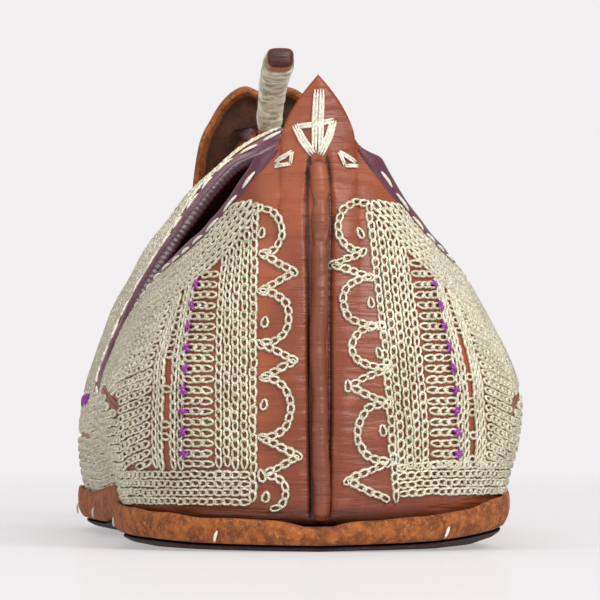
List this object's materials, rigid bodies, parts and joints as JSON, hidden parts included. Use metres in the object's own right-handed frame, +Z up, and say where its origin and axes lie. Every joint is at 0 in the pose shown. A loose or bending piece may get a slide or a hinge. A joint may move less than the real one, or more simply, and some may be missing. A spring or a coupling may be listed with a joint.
{
  "type": "khussa",
  "caption": "Straight-cut leather slipper with a pointed heel tab, low open sides, cupped sole and a broad turned-up toe with a wrapped tendril.",
  "frame": {"origin": "on the ground, under the middle of the shoe's length and width", "axes": "+Z up, +Y towards the toe, +X across the shoe"},
  "size_m": [0.077, 0.28, 0.0917],
  "materials": {
    "upper_leather": "smooth dyed leather with fine wrinkles",
    "sole_leather": "rough napped edge",
    "outsole_leather": "dark matt",
    "insole_leather": "matt",
    "maroon_leather": "semi-gloss edging",
    "gold_thread": "pale metallic thread"
  },
  "bodies": {
    "root": {"outsole": "outsole_leather", "sole": "sole_leather", "insole": "insole_leather", "upper": "upper_leather", "topline_binding": "maroon_leather", "back_seam_cord": "upper_leather", "toe_tendril": "upper_leather", "tendril_wrap": "gold_thread"}
  },
  "joints": []
}
